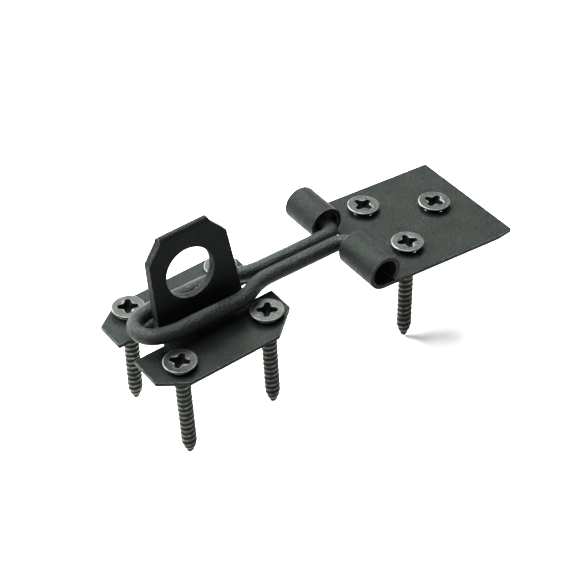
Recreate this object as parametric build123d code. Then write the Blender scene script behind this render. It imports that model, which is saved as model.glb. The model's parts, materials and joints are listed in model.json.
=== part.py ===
from build123d import *
from math import atan, atan2, cos, degrees, radians, sin
import os

# Wire hasp and staple: a folded staple plate with a padlock tongue, a bent-rod bail and a
# two-knuckle hinge leaf, with the screws that hold both plates. Millimetres, +Z up.
# Origin: in the plane of the staple's two wing undersides, under the middle of the tongue.
# X runs from the staple to the leaf, Y across the fold.

# --- sheet metal -----------------------------------------------------------------------
SHEET = 1.1
TALL = 60.0

# --- staple plate: wings, bends, tongue, padlock eye -------------------------------------
WING_LEFT = -20.8
WING_RIGHT = 18.7
FRONT_WING_EDGE = -18.2
REAR_WING_EDGE = 16.4
FRONT_CORNER_LEFT = (6.5, 5.0)
FRONT_CORNER_RIGHT = (7.8, 6.8)
REAR_CORNER_LEFT = (6.3, 4.6)
REAR_CORNER_RIGHT = (5.4, 4.6)
LAYER_GAP = 0.1
BEND_INSIDE = 2.2
TONGUE_LEAN = radians(7.16)
TONGUE_FOOT = (-0.2, 3.0)
FOOT_HALF_WIDTH = 12.0
SHOULDER_HALF_WIDTH = 10.85
SHOULDER_RISE = 18.5
TOP_HALF_WIDTH = 6.05
TOP_RISE = 24.15
EYE_OFFSET = -0.65
EYE_RISE = 11.95
EYE_RADIUS = 6.5

# --- hinge leaf: plate, notch and curled knuckles ------------------------------------------
KNUCKLE_X = 42.16
KNUCKLE_Z = 3.31
KNUCKLE_OUTSIDE = 4.53
KNUCKLE_BORE = KNUCKLE_OUTSIDE - SHEET
CURL_GAP = 0.08
LEAF_TILT = 6.29
LEAF_LENGTH = 41.2
LEAF_FRONT = -18.6
LEAF_REAR = 17.4
NOTCH_FRONT = -5.5
NOTCH_REAR = 5.7
NOTCH_DEPTH = 3.5
LEAF_CORNER_TRIM = (4.7, 0.8)

# --- wire bail -------------------------------------------------------------------------------
WIRE_RADIUS = 2.0
BAIL_PITCH = 1.85
BAIL_ROLL = 4.5
LEG_OFFSET = 2.05
KNUCKLE_BEND = 3.5
WIRE_END = 12.5
PARALLEL_TO = 22.5
SPREAD_TO = 35.5
LOOP_OFFSET = 5.7
TAPER_FROM = 50.0
NOSE_REACH = 59.0
NOSE_RADIUS = 5.0

# --- screws -----------------------------------------------------------------------------------
LONG_SCREW = 30.2
SHORT_SCREW = 20.0
HEAD_RADIUS = 4.15
HEAD_EDGE_ROUND = 0.15
HEAD_RIM = 0.4
HEAD_PROUD = 2.61
SHANK_RADIUS = 2.0
TIP_RADIUS = 0.6
TIP_LENGTH = 3.0
RECESS_TOP = (4.8, 1.25)
RECESS_FLOOR = (1.8, 0.9)
RECESS_DEPTH = 1.9
HOLE_RADIUS = 3.2

# Each screw: node, place on its plate, slope of its shank along X and Y, turn of its recess,
# and length.
STAPLE_SCREWS = (
    ("staple_screw_front_left", (-12.9, -11.8), (-0.023, 0.009), 49.0, LONG_SCREW),
    ("staple_screw_back_left", (-12.5, 12.3), (-0.058, 0.019), 30.0, LONG_SCREW),
    ("staple_screw_front_right", (12.9, -10.2), (-0.029, 0.003), 37.0, LONG_SCREW),
    ("staple_screw_back_right", (13.4, 10.9), (0.0, 0.0), 35.0, LONG_SCREW),
)
LEAF_SCREWS = (
    ("leaf_screw_back", (14.7, 9.8), (0.0, 0.0), 74.0, SHORT_SCREW),
    ("leaf_screw_outer", (31.0, 1.1), (0.0, 0.0), 65.0, SHORT_SCREW),
    ("leaf_screw_front", (14.4, -9.0), (0.024, -0.007), 18.0, LONG_SCREW),
)


def along(start, direction, distance):
    """The point at a distance from start along a unit direction, in one plane."""
    return (start[0] + distance * direction[0], start[1] + distance * direction[1])


def arc(centre, radius, start, end):
    """An arc about a centre between two angles in degrees."""
    return CenterArc(centre, radius, start, end - start).edge()


def bend_centre(side):
    """Centre of the bend between a wing and the tongue; side is -1 in front, 1 behind."""
    out = (cos(TONGUE_LEAN), -sin(TONGUE_LEAN))
    face = along(TONGUE_FOOT, out, side * (SHEET + LAYER_GAP / 2))
    height = SHEET + BEND_INSIDE
    run = side * BEND_INSIDE + sin(TONGUE_LEAN) * (height - face[1])
    return (face[0] + run / cos(TONGUE_LEAN), height)


def fold_section():
    """Section of the two bends and the double tongue, in the YZ plane."""
    up = (sin(TONGUE_LEAN), cos(TONGUE_LEAN))
    out = (cos(TONGUE_LEAN), -sin(TONGUE_LEAN))
    lean = degrees(TONGUE_LEAN)
    inner = LAYER_GAP / 2
    outer = SHEET + inner
    wide = BEND_INSIDE + SHEET
    crown = along(TONGUE_FOOT, up, TOP_RISE - outer)
    front = bend_centre(-1)
    rear = bend_centre(1)
    edges = [
        # up the front layer's inner side, over the fold and down the rear layer's
        arc(front, wide, -90, -lean),
        Line(along(front, out, wide), along(crown, out, -inner)).edge(),
        arc(crown, inner, 180 - lean, -lean),
        Line(along(crown, out, inner), along(rear, out, -wide)).edge(),
        arc(rear, wide, 180 - lean, 270),
        Line((rear[0], 0), (rear[0], SHEET)).edge(),
        # up the tongue's back face, over the fold and down its front face
        arc(rear, BEND_INSIDE, 270, 180 - lean),
        Line(along(rear, out, -BEND_INSIDE), along(crown, out, outer)).edge(),
        arc(crown, outer, -lean, 180 - lean),
        Line(along(crown, out, -outer), along(front, out, BEND_INSIDE)).edge(),
        arc(front, BEND_INSIDE, -lean, -90),
        Line((front[0], SHEET), (front[0], 0)).edge(),
    ]
    return make_face(edges)


def tongue_plane():
    """The fold's middle plane: X across the tongue, Y up its lean, normal to the front."""
    normal = (0, -cos(TONGUE_LEAN), sin(TONGUE_LEAN))
    return Plane(origin=(0, *TONGUE_FOOT), x_dir=(1, 0, 0), z_dir=normal)


def tongue_outline():
    """The tongue's outline with its two cut shoulders, as a prism through the fold."""
    points = [
        (-FOOT_HALF_WIDTH, -TALL),
        (-FOOT_HALF_WIDTH, 0),
        (-SHOULDER_HALF_WIDTH, SHOULDER_RISE),
        (-TOP_HALF_WIDTH, TOP_RISE),
        (-TOP_HALF_WIDTH, TALL),
    ]
    mirrored = [(-x, y) for x, y in reversed(points)]
    face = make_face(Polyline(*points, *mirrored, close=True))
    return extrude(tongue_plane() * face, amount=TALL, both=True)


def wing(flat_edge, outer_edge, left_corner, right_corner):
    """One wing: a rectangle with its two outer corners cut off."""
    turn = 1 if outer_edge > flat_edge else -1
    points = [
        (WING_LEFT, flat_edge),
        (WING_LEFT, outer_edge - turn * left_corner[1]),
        (WING_LEFT + left_corner[0], outer_edge),
        (WING_RIGHT - right_corner[0], outer_edge),
        (WING_RIGHT, outer_edge - turn * right_corner[1]),
        (WING_RIGHT, flat_edge),
    ]
    return extrude(make_face(Polyline(*points, close=True)), SHEET, dir=(0, 0, 1))


def screw_hole(x, y):
    """A punched hole for one screw."""
    return Pos(x, y, 0) * Cylinder(HOLE_RADIUS, TALL / 4)


def staple_plate():
    """One folded sheet: front wing, double tongue with the padlock eye, rear wing."""
    plate = wing(bend_centre(-1)[0], FRONT_WING_EDGE, FRONT_CORNER_LEFT, FRONT_CORNER_RIGHT)
    plate += wing(bend_centre(1)[0], REAR_WING_EDGE, REAR_CORNER_LEFT, REAR_CORNER_RIGHT)
    plate += extrude(Plane.YZ * fold_section(), TALL, both=True) & tongue_outline()
    plate -= tongue_plane() * Pos(EYE_OFFSET, EYE_RISE, 0) * Cylinder(EYE_RADIUS, TALL)
    for _, place, *_ in STAPLE_SCREWS:
        plate -= screw_hole(*place)
    return plate


def leaf_frame():
    """Frame of the hinge leaf: origin on the knuckle axis, X down the leaf's slope."""
    return Pos(KNUCKLE_X, 0, KNUCKLE_Z) * Rot(0, LEAF_TILT, 0)


def knuckle(front, rear):
    """One curl of the leaf's sheet, open by a hair where its end meets the leaf again."""
    floor = KNUCKLE_OUTSIDE - SHEET - CURL_GAP
    end = degrees(atan2(-floor, (KNUCKLE_OUTSIDE**2 - floor**2) ** 0.5))
    tip_in = (KNUCKLE_BORE * cos(radians(end)), KNUCKLE_BORE * sin(radians(end)))
    tip_out = (KNUCKLE_OUTSIDE * cos(radians(end)), KNUCKLE_OUTSIDE * sin(radians(end)))
    edges = [
        arc((0, 0), KNUCKLE_OUTSIDE, end, 270),
        Line((0, -KNUCKLE_OUTSIDE), (0, -KNUCKLE_BORE)).edge(),
        arc((0, 0), KNUCKLE_BORE, 270, end),
        Line(tip_in, tip_out).edge(),
    ]
    curl = extrude(Plane.XZ * make_face(edges), rear - front, dir=(0, 1, 0))
    return Pos(0, front, 0) * curl


def hinge_leaf():
    """Sloping leaf with two knuckles curled up over its inner edge."""
    trim_x, trim_y = LEAF_CORNER_TRIM
    points = [
        (0, LEAF_FRONT),
        (LEAF_LENGTH - trim_x, LEAF_FRONT),
        (LEAF_LENGTH, LEAF_FRONT + trim_y),
        (LEAF_LENGTH, LEAF_REAR),
        (0, LEAF_REAR),
        (0, NOTCH_REAR),
        (NOTCH_DEPTH, NOTCH_REAR),
        (NOTCH_DEPTH, NOTCH_FRONT),
        (0, NOTCH_FRONT),
    ]
    outline = Pos(0, 0, -KNUCKLE_OUTSIDE) * make_face(Polyline(*points, close=True))
    leaf = extrude(outline, SHEET, dir=(0, 0, 1))
    for _, (x, y), *_ in LEAF_SCREWS:
        leaf -= Pos(0, 0, -KNUCKLE_OUTSIDE) * screw_hole(x, y)
    leaf += knuckle(LEAF_FRONT, NOTCH_FRONT)
    leaf += knuckle(NOTCH_REAR, LEAF_REAR)
    return leaf_frame() * leaf


def bail_side():
    """Centre line of one leg, from its end in the knuckle to the middle of the nose."""
    spread = LOOP_OFFSET - LEG_OFFSET
    run = SPREAD_TO - PARALLEL_TO
    turn = 2 * atan2(spread, run)
    swing = run / (2 * sin(turn))
    straight = NOSE_REACH - NOSE_RADIUS - TAPER_FROM
    taper = (straight**2 + LOOP_OFFSET**2 - NOSE_RADIUS**2) / (2 * (LOOP_OFFSET - NOSE_RADIUS))
    lead = degrees(atan2(straight, taper - LOOP_OFFSET))
    bend_y = LEG_OFFSET + KNUCKLE_BEND
    open_out = degrees(turn)
    return [
        Line((0, WIRE_END), (0, bend_y)).edge(),
        arc((KNUCKLE_BEND, bend_y), KNUCKLE_BEND, 180, 270),
        Line((KNUCKLE_BEND, LEG_OFFSET), (PARALLEL_TO, LEG_OFFSET)).edge(),
        arc((PARALLEL_TO, LEG_OFFSET + swing), swing, 270, 270 + open_out),
        arc((SPREAD_TO, LOOP_OFFSET - swing), swing, 90 + open_out, 90),
        Line((SPREAD_TO, LOOP_OFFSET), (TAPER_FROM, LOOP_OFFSET)).edge(),
        arc((TAPER_FROM, LOOP_OFFSET - taper), taper, 90, 90 - lead),
        arc((NOSE_REACH - NOSE_RADIUS, 0), NOSE_RADIUS, 90 - lead, 0),
    ]


def wire_bail():
    """One bent rod: two touching legs that spread into a long loop round the tongue."""
    side = bail_side()
    other = [edge.mirror(Plane.XZ) for edge in side]
    path = Wire(side + other)
    section = Plane(origin=(0, WIRE_END, 0), z_dir=(0, -1, 0)) * Circle(WIRE_RADIUS)
    rod = sweep(section, path=path)
    place = Pos(KNUCKLE_X, 0, KNUCKLE_Z) * Rot(-BAIL_ROLL, 0, 0) * Rot(0, BAIL_PITCH, 0)
    return place * Rot(0, 0, 180) * rod


def recess_arm():
    """One tapering slot of the cross recess, from the head's top down."""
    top = Rectangle(*RECESS_TOP)
    floor = Pos(0, 0, -RECESS_DEPTH) * Rectangle(*RECESS_FLOOR)
    return loft([top, floor])


def screw(turn, length):
    """A countersunk wood screw standing on its axis, head top at the origin."""
    taper = HEAD_RADIUS - SHANK_RADIUS
    profile = [
        (0, 0),
        (HEAD_RADIUS - HEAD_EDGE_ROUND, 0),
        (HEAD_RADIUS, -HEAD_EDGE_ROUND),
        (HEAD_RADIUS, -HEAD_RIM),
        (SHANK_RADIUS, -HEAD_RIM - taper),
        (SHANK_RADIUS, TIP_LENGTH - length),
        (TIP_RADIUS, -length),
        (0, -length),
    ]
    body = revolve(Plane.XZ * make_face(Polyline(*profile, close=True)), Axis.Z)
    for quarter in (0, 90):
        body -= Rot(0, 0, turn + quarter) * recess_arm()
    return body


def placed_screw(place, slope, turn, length):
    """A screw in its hole, with its shank's small slope."""
    lean_x = degrees(atan(slope[0]))
    lean_y = degrees(atan(slope[1]))
    return Pos(*place, HEAD_PROUD) * Rot(lean_y, -lean_x, 0) * screw(turn, length)


def main():
    parts = {
        "staple_plate": staple_plate(),
        "hinge_leaf": hinge_leaf(),
        "wire_bail": wire_bail(),
    }
    for name, *details in STAPLE_SCREWS:
        parts[name] = placed_screw(*details)
    underside = leaf_frame() * Pos(0, 0, -KNUCKLE_OUTSIDE)
    for name, *details in LEAF_SCREWS:
        parts[name] = underside * placed_screw(*details)
    os.makedirs("parts", exist_ok=True)
    for name, solid in parts.items():
        export_step(solid, f"parts/{name}.step")


main()
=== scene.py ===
import json
from math import atan2, ceil, copysign, cos, pi, radians, sin, tan

import bpy
import numpy as np
from mathutils import Matrix, Vector, noise
from mathutils.geometry import delaunay_2d_cdt


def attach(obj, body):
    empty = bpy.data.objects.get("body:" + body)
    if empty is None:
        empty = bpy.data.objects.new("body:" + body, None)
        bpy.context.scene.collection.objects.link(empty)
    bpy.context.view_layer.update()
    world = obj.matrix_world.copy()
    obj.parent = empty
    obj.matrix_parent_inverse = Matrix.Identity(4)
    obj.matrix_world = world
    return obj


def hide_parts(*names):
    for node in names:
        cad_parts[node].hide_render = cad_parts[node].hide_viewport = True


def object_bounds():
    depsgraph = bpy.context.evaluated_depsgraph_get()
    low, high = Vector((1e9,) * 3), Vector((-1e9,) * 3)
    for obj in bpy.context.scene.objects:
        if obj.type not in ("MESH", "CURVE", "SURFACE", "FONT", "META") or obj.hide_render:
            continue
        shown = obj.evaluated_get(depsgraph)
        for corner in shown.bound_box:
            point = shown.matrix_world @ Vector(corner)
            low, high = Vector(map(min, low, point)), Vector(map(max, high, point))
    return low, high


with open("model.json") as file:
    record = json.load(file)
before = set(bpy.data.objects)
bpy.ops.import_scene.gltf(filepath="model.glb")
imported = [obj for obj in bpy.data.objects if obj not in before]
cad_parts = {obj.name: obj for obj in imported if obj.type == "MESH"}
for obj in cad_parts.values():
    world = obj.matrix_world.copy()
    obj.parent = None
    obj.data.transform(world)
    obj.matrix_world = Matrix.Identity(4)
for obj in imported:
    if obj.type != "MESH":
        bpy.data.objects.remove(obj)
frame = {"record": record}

CAD_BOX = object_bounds()
RECORD = frame["record"]
MOUNTS = {mount["name"]: mount for mount in RECORD["mounts"]}
JOINTS = {joint["name"]: joint for joint in RECORD["behaviour"]["joints"]}

# Sizes below are in millimetres, as in the CAD model; MM turns them into metres.
MM = 0.001

# --- sheet metal -------------------------------------------------------------------------
SHEET = 1.1
EDGE_ROUND = 0.2
EDGE_STEPS = 4
EDGE_SUPPORT = 0.1
GRID_STEP = 1.5
LEAST_GAP = 0.06
BORDER_GAP = 0.12
MERGE_DISTANCE = 1e-7
EDGE_WEAR = 1.0

# --- staple plate ------------------------------------------------------------------------
WING_LEFT = -20.8
WING_RIGHT = 18.7
FRONT_EDGE = -18.2
REAR_EDGE = 16.4
FRONT_CORNERS = ((6.5, 5.0), (7.8, 6.8))
REAR_CORNERS = ((6.3, 4.6), (5.4, 4.6))
LAYER_GAP = 0.1
BEND_INSIDE = 2.2
TONGUE_FOOT = (-0.2, 3.0)
FOOT_HALF = 12.0
SHOULDER_HALF = 10.85
SHOULDER_RISE = 18.5
TOP_HALF = 6.05
TOP_RISE = 24.15
CORNER_ROUND = 0.45
HOLE_RADIUS = 3.2
HOLE_TAPER = 1.0
HOLE_SIDES = 64
EYE_SIDES = 96
STAPLE_ARC_STEP = 0.3

# --- hinge leaf --------------------------------------------------------------------------
KNUCKLE_OUTSIDE = 4.53
CURL_END = radians(-47.7)
LEAF_LENGTH = 41.2
LEAF_FRONT = -18.6
LEAF_REAR = 17.4
NOTCH = (-5.5, 5.7)
NOTCH_DEPTH = 3.5
LEAF_TRIM = (4.7, 0.8)
LEAF_ARC_STEP = 0.35

# --- wire bail ---------------------------------------------------------------------------
WIRE_RADIUS = 2.0
BAIL_PITCH = radians(1.85)
LEG_OFFSET = 2.05
KNUCKLE_BEND = 3.5
WIRE_END = 12.5
PARALLEL_TO = 22.5
SPREAD_TO = 35.5
LOOP_OFFSET = 5.7
TAPER_FROM = 50.0
NOSE_REACH = 59.0
NOSE_RADIUS = 5.0
WIRE_SIDES = 48
WIRE_STEP = 0.45
END_ROUND = 0.5
END_STEPS = 5
WIRE_LUMPS = ((0.35, 0.006), (0.9, 0.004))      # (waves per millimetre, height)

# --- screws ------------------------------------------------------------------------------
HEAD_RADIUS = 4.15
RIM_INSET = 0.42
RIM_ROUND = (0.32, 0.3)
RIM_STEPS = 6
SHANK_START = 2.55
SHANK_RADIUS = 2.0
SHANK_TAPER = 0.1
THREAD_PITCH = 1.57
THREAD_DEPTH = 0.24
THREAD_STEPS = 11
THREAD_FROM = 0.1
THREAD_TO = 0.15
RUN_IN = (0.3, 1.2)
CREST_POWER = 0.7
TIP_LENGTH = 3.0
POINT_LENGTH = 3.9
POINT_POWER = 1.4
TIP_RADIUS = 0.6
SCREW_SIDES = 48
# Rings below the rim, as (radius, depth, finish value): the head's side, then the foot of its
# cone, which gets painted shade under the head.
HEAD_SIDE = (
    (HEAD_RADIUS - 0.02, 0.42, 0.55),
    (HEAD_RADIUS - 0.14, 0.55, 0.3),
)
# Rings of the neck, as (radius, depth, finish value); their low values paint shade under the
# head.
NECK = (
    (SHANK_RADIUS + 0.25, SHANK_START - 0.2, 0.3),
    (SHANK_RADIUS + 0.02, SHANK_START + 0.05, 0.4),
)
# Loops down the driver recess: (arm's reach, inner corner, arm's half width, height).
RECESS = (
    (2.60, 0.98, 0.62, 0.0),
    (2.52, 0.90, 0.54, -0.07),
    (2.42, 0.84, 0.49, -0.25),
    (1.95, 0.72, 0.42, -1.00),
    (1.20, 0.55, 0.36, -1.75),
)
RECESS_FLOOR = -2.0
# Rings cut in the head's top when it was turned; the groove is the only one with depth.
LATHE_RINGS = (2.9, 3.22, 3.5)
GROOVE = 3.22
GROOVE_DEPTH = 0.03
# Each screw's recess turn, in degrees.
STAPLE_SCREWS = {
    "staple_screw_front_left": 49.0,
    "staple_screw_back_left": 30.0,
    "staple_screw_front_right": 37.0,
    "staple_screw_back_right": 35.0,
}
LEAF_SCREWS = {
    "leaf_screw_back": 74.0,
    "leaf_screw_outer": 65.0,
    "leaf_screw_front": 18.0,
}

# --- studio ------------------------------------------------------------------------------
FLOOR_HALF = 3.0
FLOOR_GAP = 0.0005
SKY = ((0.1, 0.03), (0.65, 0.25), (0.9, 1.0))      # (sine of the elevation, brightness)
SKY_STRENGTH = 1.9
VIEW_GAMMA = 0.85
# Name, azimuth and elevation in degrees, distance and size in metres, power in watts.
SOFTBOXES = (
    ("overhead", 20.0, 80.0, 0.8, (0.5, 0.5), 5.0),
    ("back_right", 33.0, 42.0, 0.8, (0.4, 0.28), 14.5),
    ("back_left", -32.0, 42.0, 0.55, (0.4, 0.35), 12.5),
)
CAMERA_AT = (-0.14795, -0.28353, 0.28776)
CAMERA_AZIMUTH = radians(31.469)
CAMERA_DROP = radians(41.339)
CAMERA_ROLL = radians(-5.420)
CAMERA_LENS = 111.47


# ======================================================================================
# Geometry helpers
# ======================================================================================

class Route:
    """A flat route of straight runs and arcs, each given as (length, turn to the left)."""

    def __init__(self, start, heading, runs):
        self.runs = []
        point = Vector(start)
        distance = 0.0
        for length, turn in runs:
            self.runs.append((distance, length, turn, point.copy(), heading))
            point = self._walk(point, heading, length, turn, length)
            heading += turn
            distance += length
        self.length = distance

    @staticmethod
    def _walk(point, heading, length, turn, along):
        if abs(turn) < 1e-9:
            return point + along * Vector((cos(heading), sin(heading)))
        radius = length / turn
        swept = heading + turn * along / length
        return point + radius * Vector((sin(swept) - sin(heading), cos(heading) - cos(swept)))

    def at(self, distance):
        """Point and left-hand normal at a distance along the route."""
        run = self.runs[0]
        for candidate in self.runs:
            if candidate[0] <= distance + 1e-9:
                run = candidate
        start, length, turn, point, heading = run
        along = distance - start
        place = self._walk(point, heading, length, turn, along)
        direction = heading + turn * along / length
        return place, Vector((-sin(direction), cos(direction)))

    def rows(self, arc_step, flat_step):
        """Distances along the route, close together on the arcs."""
        marks = [0.0]
        for start, length, turn, _, _ in self.runs:
            step = flat_step if abs(turn) < 1e-9 else arc_step
            count = max(1, ceil(length / step))
            marks += [start + length * (i + 1) / count for i in range(count)]
        return marks


def rounded(points, radii, steps=5):
    """An anticlockwise outline with rounded corners: its points, each with its inward normal."""
    outline = []
    for index, (corner, radius) in enumerate(zip(points, radii)):
        here = Vector(corner)
        back = Vector(points[index - 1]) - here
        ahead = Vector(points[(index + 1) % len(points)]) - here
        reach = min(back.length, ahead.length) * 0.49
        back.normalize()
        ahead.normalize()
        turn = atan2(ahead.x * back.y - ahead.y * back.x, -back.dot(ahead))
        slope = abs(tan(turn / 2))
        cut = min(radius * slope, reach)
        bend = copysign(cut / slope, turn)
        normal = Vector((back.y, -back.x))
        centre = here + back * cut + normal * bend
        for step in range(steps + 1):
            spun = Matrix.Rotation(turn * step / steps, 2) @ normal
            outline.append((centre - spun * bend, spun))
    return outline


def circle(centre, radius, count):
    """A hole's clockwise ring of points, each with the normal that points into the metal."""
    turns = (-2 * pi * i / count for i in range(count))
    normals = [Vector((cos(turn), sin(turn))) for turn in turns]
    return [(Vector(centre) + normal * radius, normal) for normal in normals]


def split_at_rows(outline, rows):
    """The outline with a point wherever it crosses a row, so that folds stay clean."""
    result = []
    for index, (point, normal) in enumerate(outline):
        after, other = outline[(index + 1) % len(outline)]
        low, high = sorted((point.y, after.y))
        crossed = [row for row in rows if low + LEAST_GAP < row < high - LEAST_GAP]
        if after.y < point.y:
            crossed.reverse()
        shares = [0.0] + [(row - point.y) / (after.y - point.y) for row in crossed]
        if not crossed:
            count = ceil((after - point).length / GRID_STEP)
            shares += [i / count for i in range(1, count)]
        result += [(point.lerp(after, t), normal.lerp(other, t).normalized()) for t in shares]
    return result


def inset(outline, distance):
    """The outline's points moved into the metal."""
    return [point + normal * distance for point, normal in outline]


def inside(points, outline):
    """Which of the points (an array) lie inside the outline."""
    x, y = points[:, 0], points[:, 1]
    result = np.zeros(len(points), bool)
    for index, corner in enumerate(outline):
        before = outline[index - 1]
        if before.y == corner.y:
            continue
        crosses = (corner.y > y) != (before.y > y)
        edge = (before.x - corner.x) * (y - corner.y) / (before.y - corner.y) + corner.x
        result ^= crosses & (x < edge)
    return result


def in_metal(points, outline, holes):
    """Which of the points (an array) lie inside the outline and outside every hole."""
    result = inside(points, outline)
    for hole in holes:
        result &= ~inside(points, hole)
    return result


def fill(outline, holes, fixed):
    """Triangles inside the outline and outside the holes, using the fixed points as well.

    Returns the points, which start with those of the outline and the holes, and the triangles.
    """
    points = []
    edges = []
    for loop in (outline, *holes):
        start = len(points)
        edges += [(start + i, start + (i + 1) % len(loop)) for i in range(len(loop))]
        points += loop
    border = np.array([tuple(p) for p in points])
    spots = np.array([tuple(p) for p in fixed])
    keep = in_metal(spots, outline, holes)
    for index in np.flatnonzero(keep):
        keep[index] = np.abs(border - spots[index]).max(axis=1).min() >= BORDER_GAP
    points += [Vector(spot) for spot in spots[keep]]
    verts, _, faces, origin, _, _ = delaunay_2d_cdt(points, edges, [], 0, MERGE_DISTANCE)
    sources = [source[0] for source in origin]
    middles = [sum((verts[i] for i in face), Vector((0, 0))) / len(face) for face in faces]
    keep = in_metal(np.array([tuple(p) for p in middles]), outline, holes)
    return points, [[sources[i] for i in face] for face, good in zip(faces, keep) if good]


def bridge(rings):
    """Quads between each ring of vertices and the next."""
    faces = []
    for first, second in zip(rings, rings[1:]):
        for i in range(len(first)):
            j = (i + 1) % len(first)
            faces.append([first[i], first[j], second[j], second[i]])
    return faces


def fan(ring, middle):
    """Triangles from a ring of vertices to a middle one."""
    return [[ring[i], ring[(i + 1) % len(ring)], middle] for i in range(len(ring))]


def new_object(name, verts, faces, material, wear_and_painted_light):
    """A smooth-shaded mesh object, in metres, with its faces turned outwards.

    The wear list gives each vertex a 0 to 1 value that the materials read: edge wear on the
    sheets, and on the screws wear together with painted shade in the hollows and a painted
    highlight on the thread crests.
    """
    mesh = bpy.data.meshes.new(name)
    mesh.from_pydata([tuple(v) for v in verts], [], faces)
    mesh.validate()
    piece = bpy.data.objects.new(name, mesh)
    bpy.context.scene.collection.objects.link(piece)
    bpy.context.view_layer.objects.active = piece
    piece.select_set(True)
    bpy.ops.object.mode_set(mode="EDIT")
    bpy.ops.mesh.select_all(action="SELECT")
    bpy.ops.mesh.normals_make_consistent(inside=False)
    bpy.ops.object.mode_set(mode="OBJECT")
    piece.select_set(False)
    mesh.shade_smooth()
    mesh.materials.append(material)
    mesh.attributes.new("wear_and_painted_light", "FLOAT", "POINT").data.foreach_set("value", wear_and_painted_light)
    return piece


def sheet_part(name, outline, holes, screw_holes, route, rows, place, material):
    """Sheet metal cut to a flat outline, its edges rounded, then folded along a route.

    The outline's Y is the distance along the route, and place turns (across, point of the
    route) into a point of the model. Screw holes narrow towards the back of the sheet.
    """
    loops = [split_at_rows(outline, rows), *holes, *screw_holes]
    tapers = [0.0] * (1 + len(holes)) + [HOLE_TAPER] * len(screw_holes)
    profile = [(EDGE_ROUND + EDGE_SUPPORT, SHEET / 2)]
    for step in range(EDGE_STEPS + 1):
        turn = pi / 2 * (1 - step / EDGE_STEPS)
        profile.append((EDGE_ROUND * (1 - cos(turn)), SHEET / 2 - EDGE_ROUND * (1 - sin(turn))))
    profile += [(depth, -height) for depth, height in reversed(profile)]
    low_x = min(p.x for p, _ in outline)
    high_x = max(p.x for p, _ in outline)
    count = ceil((high_x - low_x) / GRID_STEP)
    across = [low_x + (high_x - low_x) * (i + 0.5) / count for i in range(count)]
    grid = [(x, row) for row in rows for x in across]
    flat = [inset(loop, profile[0][0]) for loop in loops]
    face_points, triangles = fill(flat[0], flat[1:], grid)
    verts = []
    wear_and_painted_light = []

    def add(point, height, level=0.0):
        spot, normal = route.at(min(max(point.y, 0.0), route.length))
        verts.append(place(point.x, spot + normal * height))
        wear_and_painted_light.append(level)
        return len(verts) - 1

    top = [add(p, SHEET / 2) for p in face_points]
    back_points = list(face_points)
    first = 0
    for loop, taper in zip(loops, tapers):
        back_points[first:first + len(loop)] = inset(loop, profile[0][0] - taper)
        first += len(loop)
    bottom = [add(p, -SHEET / 2) for p in back_points]
    faces = [[top[i] for i in face] for face in triangles]
    faces += [[bottom[i] for i in reversed(face)] for face in triangles]
    first = 0
    for loop, taper in zip(loops, tapers):
        last = first + len(loop)
        rings = [top[first:last]]
        for depth, height in profile[1:-1]:
            share = depth / EDGE_ROUND
            level = 4 * EDGE_WEAR * share * (1 - share)
            shift = taper * (0.5 - height / SHEET)
            rings.append([add(p, height, level) for p in inset(loop, depth - shift)])
        rings.append(bottom[first:last])
        faces += bridge(rings)
        first = last
    return new_object(name, verts, faces, material, wear_and_painted_light)


# ======================================================================================
# Materials
# ======================================================================================

class Nodes:
    """Builds one material's node tree, with short calls for the nodes that repeat."""

    def __init__(self, name):
        self.material = bpy.data.materials.new(name)
        self.material.use_nodes = True
        self.tree = self.material.node_tree
        self.shader = self.tree.nodes["Principled BSDF"]
        self.normal = self.shader.inputs["Normal"]
        self.place = self.tree.nodes.new("ShaderNodeTexCoord").outputs["Object"]

    def link(self, source, target):
        self.tree.links.new(source, target)

    def noise(self, scale, detail=2.0, roughness=0.5):
        """Noise over the piece; scale is in features per metre."""
        node = self.tree.nodes.new("ShaderNodeTexNoise")
        node.inputs["Scale"].default_value = scale
        node.inputs["Detail"].default_value = detail
        node.inputs["Roughness"].default_value = roughness
        self.link(self.place, node.inputs["Vector"])
        return node.outputs["Fac"]

    def ramp(self, source, stops):
        """Colours or greys along a 0 to 1 value."""
        node = self.tree.nodes.new("ShaderNodeValToRGB")
        elements = node.color_ramp.elements
        while len(elements) < len(stops):
            elements.new(0.5)
        for element, (position, colour) in zip(elements, stops):
            element.position = position
            if isinstance(colour, (int, float)):
                colour = (colour, colour, colour)
            element.color = (*colour, 1.0)
        self.link(source, node.inputs["Fac"])
        return node.outputs["Color"]

    def mix(self, amount, first, second, blend="MIX"):
        node = self.tree.nodes.new("ShaderNodeMix")
        node.data_type = "RGBA"
        node.blend_type = blend
        for index, value in ((0, amount), (6, first), (7, second)):
            if isinstance(value, bpy.types.NodeSocket):
                self.link(value, node.inputs[index])
            elif isinstance(value, (int, float)):
                node.inputs[index].default_value = value
            else:
                node.inputs[index].default_value = (*value, 1.0)
        return node.outputs[2]

    def math(self, operation, first, second):
        node = self.tree.nodes.new("ShaderNodeMath")
        node.operation = operation
        for socket, value in ((node.inputs[0], first), (node.inputs[1], second)):
            if isinstance(value, bpy.types.NodeSocket):
                self.link(value, socket)
            else:
                socket.default_value = value
        return node.outputs[0]

    def patches(self, scale, amount):
        """Noise centred on zero, up to half the amount either way."""
        return self.math("MULTIPLY", self.math("SUBTRACT", self.noise(scale, 3.0), 0.5), amount)

    def bump(self, height, distance):
        """Adds a bump; the first call feeds the shader, later ones feed the call before."""
        node = self.tree.nodes.new("ShaderNodeBump")
        node.inputs["Strength"].default_value = 1.0
        node.inputs["Distance"].default_value = distance
        self.link(height, node.inputs["Height"])
        self.link(node.outputs["Normal"], self.normal)
        self.normal = node.inputs["Normal"]

    def wear_and_painted_light(self):
        """The value given to new_object at each vertex: wear, and on the screws also painted
        shade and painted highlight.
        """
        node = self.tree.nodes.new("ShaderNodeAttribute")
        node.attribute_name = "wear_and_painted_light"
        return node.outputs["Fac"]


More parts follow.
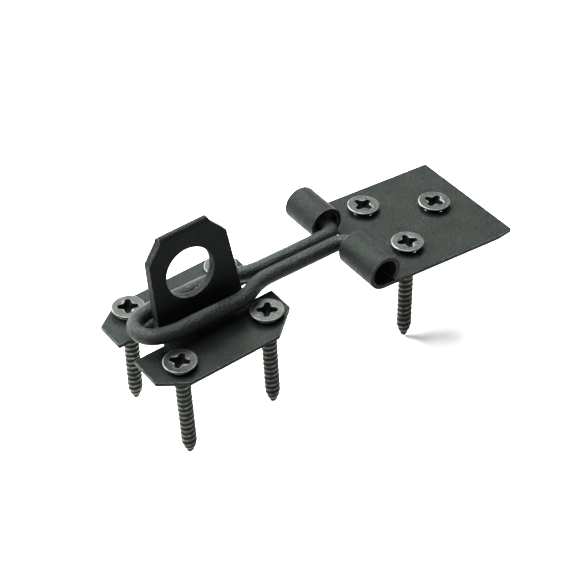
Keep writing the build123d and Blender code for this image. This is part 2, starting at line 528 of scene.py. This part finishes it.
COAT_TINT = (0.86, 1.0, 0.90, 1.0)
SPECK = (0.11, 0.115, 0.11)
RUBBED_COAT = (0.10, 0.106, 0.10)
# Near-black colour of the driver recess: painted shade.
PAINTED_RECESS_SHADE = (0.0025, 0.0025, 0.0025)
BARE_GRAIN = (0.075, 0.048, 0.032)


def powder_coat(name, dark, light, pebble, pebble_depth, rough, gloss):
    """Matte black powder coat: fine orange peel, cloudy sheen, odd pale specks, rubbed edges."""
    nodes = Nodes(name)
    clouds = nodes.noise(160.0, 3.0)
    colour = nodes.ramp(clouds, [(0.3, dark), (0.7, light)])
    specks = nodes.ramp(nodes.noise(1900.0, 1.0), [(0.79, 0.0), (0.83, 1.0)])
    colour = nodes.mix(specks, colour, SPECK)
    wear_and_painted_light_level = nodes.math("ADD", nodes.wear_and_painted_light(), nodes.patches(900.0, 1.2))
    rubbed = nodes.ramp(wear_and_painted_light_level, [(0.45, 0.0), (0.95, 1.0)])
    colour = nodes.mix(rubbed, colour, RUBBED_COAT)
    nodes.link(colour, nodes.shader.inputs["Base Color"])
    nodes.shader.inputs["Specular Tint"].default_value = COAT_TINT
    sheen = nodes.ramp(nodes.noise(700.0, 3.0), [(0.3, rough - 0.06), (0.7, rough + 0.07)])
    nodes.link(sheen, nodes.shader.inputs["Roughness"])
    nodes.shader.inputs["Specular IOR Level"].default_value = gloss
    nodes.bump(nodes.noise(pebble, 2.0, 0.6), pebble_depth)
    nodes.bump(nodes.noise(pebble * 0.4, 2.0, 0.5), pebble_depth * 0.2)
    return nodes.material


def screw_finish(name, painted_shade, plain, rubbed, rough, metal):
    """Black phosphate: rubbed bright along the edges, with painted shade in the hollows and a
    painted highlight on the thread crests.

    A vertex's value is 0 in a hollow painted dark as shade, 0.5 on a plain face and 1 on an
    edge.
    """
    nodes = Nodes(name)
    wear_and_painted_light_level = nodes.math("ADD", nodes.wear_and_painted_light(), nodes.patches(1300.0, 0.5))
    # Painted shade and painted highlight: low values take the near-black colour, and the high
    # values on thread crests lean towards the rubbed colour.
    colour = nodes.ramp(wear_and_painted_light_level, [(0.05, painted_shade), (0.5, plain), (0.72, plain), (0.95, rubbed)])
    grime = nodes.ramp(nodes.noise(700.0, 4.0), [(0.35, 0.55), (0.65, 1.0)])
    colour = nodes.mix(1.0, colour, grime, "MULTIPLY")
    nodes.link(colour, nodes.shader.inputs["Base Color"])
    nodes.shader.inputs["Metallic"].default_value = metal
    nodes.shader.inputs["Specular Tint"].default_value = COAT_TINT
    nodes.shader.inputs["Specular IOR Level"].default_value = 0.2
    sheen = nodes.ramp(nodes.noise(1500.0, 3.0), [(0.3, rough - 0.07), (0.7, rough + 0.07)])
    nodes.link(sheen, nodes.shader.inputs["Roughness"])
    nodes.bump(nodes.noise(3000.0, 3.0, 0.6), 0.00004)
    return nodes.material


def recess_finish():
    """The driver recess, painted near black as shade, with a few rubbed grains."""
    nodes = Nodes("screw_recess_material")
    grains = nodes.ramp(nodes.noise(2600.0, 2.0), [(0.66, 0.0), (0.74, 1.0)])
    colour = nodes.mix(grains, PAINTED_RECESS_SHADE, BARE_GRAIN)
    nodes.link(colour, nodes.shader.inputs["Base Color"])
    rough = nodes.ramp(nodes.noise(1500.0, 2.0), [(0.3, 0.6), (0.7, 0.8)])
    nodes.link(rough, nodes.shader.inputs["Roughness"])
    nodes.shader.inputs["Specular IOR Level"].default_value = 0.12
    nodes.bump(nodes.noise(3000.0, 2.0), 0.00004)
    return nodes.material


def floor_finish():
    """Plain white paper, very slightly uneven."""
    nodes = Nodes("floor_material")
    colour = nodes.ramp(nodes.noise(6.0, 2.0), [(0.3, 0.70), (0.7, 0.72)])
    nodes.link(colour, nodes.shader.inputs["Base Color"])
    nodes.shader.inputs["Roughness"].default_value = 0.9
    nodes.shader.inputs["Specular IOR Level"].default_value = 0.1
    return nodes.material


PLATE_COAT = powder_coat(
    "plate_coat_material",
    dark=(0.0026, 0.0033, 0.0028),
    light=(0.0062, 0.0078, 0.0068),
    pebble=2500.0,
    pebble_depth=0.00026,
    rough=0.46,
    gloss=0.13,
)
WIRE_COAT = powder_coat(
    "wire_coat_material",
    dark=(0.0046, 0.0054, 0.0050),
    light=(0.0094, 0.0108, 0.0101),
    pebble=2500.0,
    pebble_depth=0.00042,
    rough=0.38,
    gloss=0.26,
)
# The first colour of each screw finish is painted shade for the thread roots, the head's groove
# and the parts under the head.
SCREW_COAT = screw_finish(
    "screw_coat_material",
    painted_shade=(0.0010, 0.0010, 0.0008),
    plain=(0.024, 0.0245, 0.0210),
    rubbed=(0.24, 0.24, 0.21),
    rough=0.48,
    metal=0.45,
)
HEAD_COAT = screw_finish(
    "screw_head_material",
    painted_shade=(0.003, 0.003, 0.0027),
    plain=(0.016, 0.0168, 0.0158),
    rubbed=(0.17, 0.178, 0.17),
    rough=0.44,
    metal=0.3,
)
RECESS_COAT = recess_finish()


# ======================================================================================
# Staple plate
# ======================================================================================

def staple_route():
    """The folded sheet's middle line across the tongue, from the front edge to the rear one."""
    eye_axis = Vector(MOUNTS["padlock_eye"]["axis"])
    lean = atan2(eye_axis.z, -eye_axis.y)
    out = Vector((cos(lean), -sin(lean)))
    up = Vector((sin(lean), cos(lean)))
    foot = Vector(TONGUE_FOOT)
    half = SHEET + LAYER_GAP / 2
    height = SHEET + BEND_INSIDE
    middle = BEND_INSIDE + SHEET / 2
    flats = []
    feet = []
    for side in (-1, 1):
        face = foot + side * half * out
        flat = face.x + (side * BEND_INSIDE + sin(lean) * (height - face.y)) / cos(lean)
        flats.append(flat)
        feet.append((Vector((flat, height)) - foot).dot(up))
    crown = TOP_RISE - half
    hairpin = (SHEET + LAYER_GAP) / 2
    runs = [
        (flats[0] - FRONT_EDGE, 0.0),
        (middle * (pi / 2 - lean), pi / 2 - lean),
        (crown - feet[0], 0.0),
        (pi * hairpin, -pi),
        (crown - feet[1], 0.0),
        (middle * (pi / 2 + lean), pi / 2 + lean),
        (REAR_EDGE - flats[1], 0.0),
    ]
    return Route((FRONT_EDGE, SHEET / 2), 0.0, runs), feet, flats


def staple_outline(route, feet):
    """The flat blank, two wings joined by the tongue's two layers, and where its runs meet."""
    marks = [run[0] for run in route.runs] + [route.length]
    _, front_flat, front_foot, crown_front, crown_back, rear_foot, rear_flat, _ = marks
    crown = TOP_RISE - SHEET - LAYER_GAP / 2
    slope = (TOP_HALF - SHOULDER_HALF) / (TOP_RISE - SHOULDER_RISE)
    crown_half = SHOULDER_HALF + slope * (crown - SHOULDER_RISE)
    apex_half = crown_half + slope * (crown_back - crown_front) / 4
    (fl_x, fl_y), (fr_x, fr_y) = FRONT_CORNERS
    (rl_x, rl_y), (rr_x, rr_y) = REAR_CORNERS
    tongue = [
        (FOOT_HALF, front_flat),
        (FOOT_HALF, front_foot - feet[0]),
        (SHOULDER_HALF, front_foot + SHOULDER_RISE - feet[0]),
        (crown_half, crown_front),
        (apex_half, (crown_front + crown_back) / 2),
        (crown_half, crown_back),
        (SHOULDER_HALF, rear_foot - SHOULDER_RISE + feet[1]),
        (FOOT_HALF, rear_foot + feet[1]),
        (FOOT_HALF, rear_flat),
    ]
    points = [
        (WING_RIGHT - fr_x, 0.0),
        (WING_RIGHT, fr_y),
        (WING_RIGHT, front_flat),
        *tongue,
        (WING_RIGHT, rear_flat),
        (WING_RIGHT, route.length - rr_y),
        (WING_RIGHT - rr_x, route.length),
        (WING_LEFT + rl_x, route.length),
        (WING_LEFT, route.length - rl_y),
        (WING_LEFT, rear_flat),
        *[(-x, y) for x, y in reversed(tongue)],
        (WING_LEFT, front_flat),
        (WING_LEFT, fl_y),
        (WING_LEFT + fl_x, 0.0),
    ]
    return rounded(points, [CORNER_ROUND] * len(points)), marks


def shank_line(name):
    """The middle of a screw's shank, in millimetres, and the direction that it is driven in."""
    mount = MOUNTS[name + "_shank"]
    return Vector(mount["pos_m"]) / MM, Vector(mount["axis"])


def make_staple():
    route, feet, flats = staple_route()
    outline, marks = staple_outline(route, feet)
    eye = MOUNTS["padlock_eye"]
    eye_at = Vector(eye["pos_m"]) / MM
    lean = atan2(eye["axis"][2], -eye["axis"][1])
    rise = (eye_at.y - TONGUE_FOOT[0]) * sin(lean) + (eye_at.z - TONGUE_FOOT[1]) * cos(lean)
    radius = eye["dims"]["r_mm"]
    eyes = [
        circle((eye_at.x, marks[2] + rise - feet[0]), radius, EYE_SIDES),
        circle((eye_at.x, marks[5] - rise + feet[1]), radius, EYE_SIDES),
    ]
    holes = []
    for name in STAPLE_SCREWS:
        point, axis = shank_line(name)
        hole = point - axis * (point.z / axis.z)
        shift = -FRONT_EDGE if hole.y < 0 else marks[6] - flats[1]
        holes.append(circle((hole.x, hole.y + shift), HOLE_RADIUS, HOLE_SIDES))
    rows = route.rows(STAPLE_ARC_STEP, GRID_STEP)

    def place(across, point):
        return Vector((across, point.x, point.y)) * MM

    piece = sheet_part(
        "staple_plate_body", outline, eyes, holes, route, rows, place, PLATE_COAT)
    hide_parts("staple_plate")
    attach(piece, "staple")


# ======================================================================================
# Hinge leaf
# ======================================================================================

def leaf_axes():
    """Knuckle axis point, direction down the leaf, and the leaf's upward normal."""
    centre = Vector(JOINTS["bail_swing"]["pos_m"]) / MM
    normal = -Vector(MOUNTS["leaf_back"]["axis"])
    return centre, Vector((0, 1, 0)).cross(normal), normal


def make_leaf():
    centre, down, normal = leaf_axes()
    middle = KNUCKLE_OUTSIDE - SHEET / 2
    swept = 3 * pi / 2 - CURL_END
    start = (middle * cos(CURL_END), middle * sin(CURL_END))
    route = Route(start, CURL_END + pi / 2, [(middle * swept, swept), (LEAF_LENGTH, 0.0)])
    curl = middle * swept
    points = [
        (LEAF_FRONT, 0.0),
        (NOTCH[0], 0.0),
        (NOTCH[0], curl + NOTCH_DEPTH),
        (NOTCH[1], curl + NOTCH_DEPTH),
        (NOTCH[1], 0.0),
        (LEAF_REAR, 0.0),
        (LEAF_REAR, curl + LEAF_LENGTH),
        (LEAF_FRONT + LEAF_TRIM[1], curl + LEAF_LENGTH),
        (LEAF_FRONT, curl + LEAF_LENGTH - LEAF_TRIM[0]),
    ]
    outline = rounded(points, [CORNER_ROUND] * len(points))
    holes = []
    for name in LEAF_SCREWS:
        point, axis = shank_line(name)
        depth = (point - centre).dot(normal) + KNUCKLE_OUTSIDE
        hole = point - axis * depth / axis.dot(normal) - centre
        holes.append(circle((hole.y, curl + hole.dot(down)), HOLE_RADIUS, HOLE_SIDES))
    rows = route.rows(LEAF_ARC_STEP, GRID_STEP)

    def place(across, point):
        return (centre + down * point.x + normal * point.y + Vector((0, across, 0))) * MM

    piece = sheet_part("hinge_leaf_body", outline, [], holes, route, rows, place, PLATE_COAT)
    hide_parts("hinge_leaf")
    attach(piece, "leaf")


# ======================================================================================
# Wire bail
# ======================================================================================

def bail_route():
    """The rod's centre line in its own plane: X along the legs, Y along the hinge axis."""
    spread = LOOP_OFFSET - LEG_OFFSET
    run = SPREAD_TO - PARALLEL_TO
    turn = 2 * atan2(spread, run)
    swing = run / (2 * sin(turn))
    straight = NOSE_REACH - NOSE_RADIUS - TAPER_FROM
    taper = (straight**2 + LOOP_OFFSET**2 - NOSE_RADIUS**2) / (2 * (LOOP_OFFSET - NOSE_RADIUS))
    lead = atan2(straight, taper - LOOP_OFFSET)
    side = [
        (WIRE_END - LEG_OFFSET - KNUCKLE_BEND, 0.0),
        (KNUCKLE_BEND * pi / 2, pi / 2),
        (PARALLEL_TO - KNUCKLE_BEND, 0.0),
        (swing * turn, turn),
        (swing * turn, -turn),
        (TAPER_FROM - SPREAD_TO, 0.0),
        (taper * lead, -lead),
    ]
    nose = [(NOSE_RADIUS * (pi - 2 * lead), 2 * lead - pi)]
    return Route((0, WIRE_END), -pi / 2, side + nose + side[::-1])


def make_bail():
    route = bail_route()
    swing = JOINTS["bail_swing"]
    centre = Vector(swing["pos_m"]) / MM
    axis = Vector(swing["axis"]).normalized()
    lift = Vector((1, 0, 0)).cross(axis)
    legs = Vector((-cos(BAIL_PITCH), 0, 0)) + lift * sin(BAIL_PITCH)
    across = legs.cross(-axis)
    verts = []
    rings = []

    def ring(distance, radius):
        spot, normal = route.at(distance)
        base = centre + legs * spot.x + axis * spot.y
        outward = legs * normal.x + axis * normal.y
        made = []
        for side in range(WIRE_SIDES):
            turn = 2 * pi * side / WIRE_SIDES
            direction = outward * cos(turn) + across * sin(turn)
            point = base + direction * radius
            lump = sum(noise.noise(point * waves) * height for waves, height in WIRE_LUMPS)
            verts.append((base + direction * (radius + lump)) * MM)
            made.append(len(verts) - 1)
        rings.append(made)

    turns = [pi / 2 * step / END_STEPS for step in range(END_STEPS)]
    profile = [(END_ROUND * (1 - cos(a)), END_ROUND * (1 - sin(a))) for a in turns]
    for forward, shrink in profile:
        ring(forward, WIRE_RADIUS - shrink)
    count = ceil(route.length / WIRE_STEP)
    for index in range(count + 1):
        ring(END_ROUND + (route.length - 2 * END_ROUND) * index / count, WIRE_RADIUS)
    for forward, shrink in reversed(profile):
        ring(route.length - forward, WIRE_RADIUS - shrink)
    faces = bridge(rings)
    for made in (rings[0], rings[-1]):
        verts.append(sum((verts[i] for i in made), Vector()) / WIRE_SIDES)
        faces += fan(made, len(verts) - 1)
    piece = new_object("wire_bail_body", verts, faces, WIRE_COAT, [0.0] * len(verts))
    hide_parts("wire_bail")
    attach(piece, "bail")


# ======================================================================================
# Screws
# ======================================================================================

def cross_outline(reach, root, tip):
    """A cross with four tapering arms and eased corners, anticlockwise."""
    points = []
    for quarter in range(4):
        spin = Matrix.Rotation(quarter * pi / 2, 2)
        for x, y in ((reach, -tip), (reach, tip), (root, root)):
            points.append(spin @ Vector((x, y)))
    eased = rounded(points, [tip * 0.75, tip * 0.75, root * 0.6] * 4, 3)
    return [point for point, _ in eased]


def screw_circle(radius):
    """A ring of points round a screw's axis, anticlockwise."""
    turns = (2 * pi * i / SCREW_SIDES for i in range(SCREW_SIDES))
    return [Vector((radius * cos(turn), radius * sin(turn))) for turn in turns]


def thread_shape(depth, turn, length):
    """Radius of the threaded shank at a depth below the head's top and an angle, and its finish
    value: painted shade in the roots, rubbed wear and a painted highlight on the crests.
    """
    phase = (depth / THREAD_PITCH + turn / (2 * pi)) % 1.0
    ridge = (0.5 - 0.5 * cos(2 * pi * phase)) ** CREST_POWER
    start = min(1.0, max(0.0, (depth - SHANK_START - RUN_IN[0]) / RUN_IN[1]))
    radius = SHANK_RADIUS - SHANK_TAPER * min(1.0, depth / length)
    cone = max(0.0, (depth - length + POINT_LENGTH) / POINT_LENGTH)
    body = radius - (radius - TIP_RADIUS) * cone ** POINT_POWER
    groove = THREAD_DEPTH * start * (1 - ridge) * (1 - cone * 0.5)
    # The second value paints shade into the thread roots and a highlight, with some rubbing,
    # onto the crests.
    return body - groove, 0.5 - start * (0.45 - 0.80 * ridge)


def make_screw(name, body, spin):
    """One countersunk cross-recess wood screw with a real helical thread."""
    point, axis = shank_line(name)
    shank = MOUNTS[name + "_shank"]["dims"]["length_mm"]
    head_top = point - axis * (shank / 2 + SHANK_START)
    length = SHANK_START + shank + TIP_LENGTH
    up = -axis
    side = Vector((1, 0, 0)) - up * up.x
    side.normalize()
    other = up.cross(side)
    verts = []
    wear_and_painted_light = []

    def add(x, y, z, level):
        verts.append((head_top + side * x + other * y + up * z) * MM)
        wear_and_painted_light.append(level)
        return len(verts) - 1

    def ring(radius, depth, level):
        return [add(p.x, p.y, -depth, level) for p in screw_circle(radius)]

    def thread_ring(depth):
        made = []
        for i in range(SCREW_SIDES):
            turn = 2 * pi * i / SCREW_SIDES
            radius, level = thread_shape(depth, turn, length)
            made.append(add(radius * cos(turn), radius * sin(turn), -depth, level))
        return made

    # head: flat top round the recess, eased rim, cone down to the shank
    spun = Matrix.Rotation(-radians(spin), 2)
    recess = [[spun @ p for p in cross_outline(*shape[:3])] for shape in RECESS]
    recess_points = slice(SCREW_SIDES, SCREW_SIDES + len(recess[0]))
    rim = screw_circle(HEAD_RADIUS - RIM_INSET)
    lathe = [p for reach in LATHE_RINGS for p in screw_circle(reach)]
    top_points, triangles = fill(rim, [recess[0]], lathe)
    top = []
    for index, p in enumerate(top_points):
        depth = GROOVE_DEPTH if abs(p.length - GROOVE) < 0.01 else 0.0
        on_recess = recess_points.start <= index < recess_points.stop
        # The recess lip is rubbed bright; the turned groove gets a little painted shade.
        level = 0.85 if on_recess else 0.42 if depth else 0.55
        top.append(add(p.x, p.y, -depth, level))
    rings = [top[:SCREW_SIDES]]
    for step in range(RIM_STEPS + 1):
        angle = pi / 2 * step / RIM_STEPS
        radius = HEAD_RADIUS - RIM_ROUND[0] * (1 - sin(angle))
        rings.append(ring(radius, RIM_ROUND[1] * (1 - cos(angle)), 0.7 + 0.35 * sin(2 * angle)))
    rings += [ring(*shape) for shape in HEAD_SIDE]
    head_faces = len(triangles) + SCREW_SIDES * len(rings)

    # shank: neck, thread and point
    rings += [ring(*shape) for shape in NECK]
    thread_top = SHANK_START + THREAD_FROM
    threaded = length - THREAD_TO - thread_top
    levels = ceil(threaded * THREAD_STEPS / THREAD_PITCH)
    for step in range(1, levels + 1):
        rings.append(thread_ring(thread_top + threaded * step / levels))
    rings.append(ring(TIP_RADIUS * 0.7, length - 0.03, 0.5))
    faces = [[top[i] for i in face] for face in triangles] + bridge(rings)
    faces += fan(rings[-1], add(0, 0, -length, 0.5))

    # recess: walls that close in towards a small pit
    recess_from = len(faces)
    loops = [top[recess_points]]
    for outline, shape in zip(recess[1:], RECESS[1:]):
        loops.append([add(p.x, p.y, shape[3], 0.5) for p in outline])
    faces += bridge(loops) + fan(loops[-1], add(0, 0, RECESS_FLOOR, 0.5))

    piece = new_object(name + "_body", verts, faces, SCREW_COAT, wear_and_painted_light)
    piece.data.materials.append(HEAD_COAT)
    piece.data.materials.append(RECESS_COAT)
    for face in piece.data.polygons[:head_faces]:
        face.material_index = 1
    for face in piece.data.polygons[recess_from:]:
        face.material_index = 2
    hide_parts(name)
    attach(piece, body)


# ======================================================================================
# Stage, lights, camera
# ======================================================================================

def make_floor():
    """A wide plain floor just under the lowest screw point."""
    level = CAD_BOX[0].z - FLOOR_GAP
    signs = ((-1, -1), (1, -1), (1, 1), (-1, 1))
    corners = [(x * FLOOR_HALF, y * FLOOR_HALF, level) for x, y in signs]
    mesh = bpy.data.meshes.new("floor")
    mesh.from_pydata(corners, [], [(0, 1, 2, 3)])
    floor = bpy.data.objects.new("floor", mesh)
    bpy.context.scene.collection.objects.link(floor)
    mesh.materials.append(floor_finish())


def softbox(name, azimuth, elevation, distance, size, power):
    """A soft area light aimed at the object; azimuth 0 is behind it, turning to its right."""
    lamp = bpy.data.lights.new(name, "AREA")
    lamp.shape = "RECTANGLE"
    lamp.size, lamp.size_y = size
    lamp.energy = power
    turn, tilt = radians(azimuth), radians(elevation)
    target = (CAD_BOX[0] + CAD_BOX[1]) / 2
    away = Vector((sin(turn) * cos(tilt), cos(turn) * cos(tilt), sin(tilt)))
    light = bpy.data.objects.new(name, lamp)
    light.location = target + away * distance
    light.rotation_mode = "QUATERNION"
    light.rotation_quaternion = away.to_track_quat("Z", "Y")
    bpy.context.scene.collection.objects.link(light)


def make_lights():
    """A bright ceiling that falls off towards the horizon, and softboxes behind the object."""
    world = bpy.data.worlds.new("studio")
    bpy.context.scene.world = world
    world.use_nodes = True
    tree = world.node_tree
    place = tree.nodes.new("ShaderNodeTexCoord")
    split = tree.nodes.new("ShaderNodeSeparateXYZ")
    ramp = tree.nodes.new("ShaderNodeValToRGB")
    tree.links.new(place.outputs["Generated"], split.inputs[0])
    tree.links.new(split.outputs["Z"], ramp.inputs["Fac"])
    elements = ramp.color_ramp.elements
    elements.new(0.5)
    for element, (height, level) in zip(elements, SKY):
        element.position = height
        element.color = (level, level, level, 1.0)
    background = tree.nodes["Background"]
    tree.links.new(ramp.outputs["Color"], background.inputs["Color"])
    background.inputs["Strength"].default_value = SKY_STRENGTH
    for box in SOFTBOXES:
        softbox(*box)
    settings = bpy.context.scene.view_settings
    settings.view_transform = "Standard"
    settings.gamma = VIEW_GAMMA


def make_camera():
    """A view from the front left and above, heading right of +Y, with a slight roll."""
    forward = Vector((
        sin(CAMERA_AZIMUTH) * cos(CAMERA_DROP),
        cos(CAMERA_AZIMUTH) * cos(CAMERA_DROP),
        -sin(CAMERA_DROP),
    ))
    level = Vector((cos(CAMERA_AZIMUTH), -sin(CAMERA_AZIMUTH), 0))
    upward = level.cross(forward)
    right = level * cos(CAMERA_ROLL) + upward * sin(CAMERA_ROLL)
    up = upward * cos(CAMERA_ROLL) - level * sin(CAMERA_ROLL)
    data = bpy.data.cameras.new("camera")
    data.lens = CAMERA_LENS
    data.sensor_width = 36.0
    data.clip_start = 0.01
    data.clip_end = 20.0
    camera = bpy.data.objects.new("camera", data)
    turn = Matrix((right, up, -forward)).transposed()
    camera.matrix_world = Matrix.Translation(CAMERA_AT) @ turn.to_4x4()
    bpy.context.scene.collection.objects.link(camera)
    bpy.context.scene.camera = camera


make_staple()
make_leaf()
make_bail()
for screw_name, recess_turn in STAPLE_SCREWS.items():
    make_screw(screw_name, "staple", recess_turn)
for screw_name, recess_turn in LEAF_SCREWS.items():
    make_screw(screw_name, "leaf", recess_turn)
make_floor()
make_lights()
make_camera()
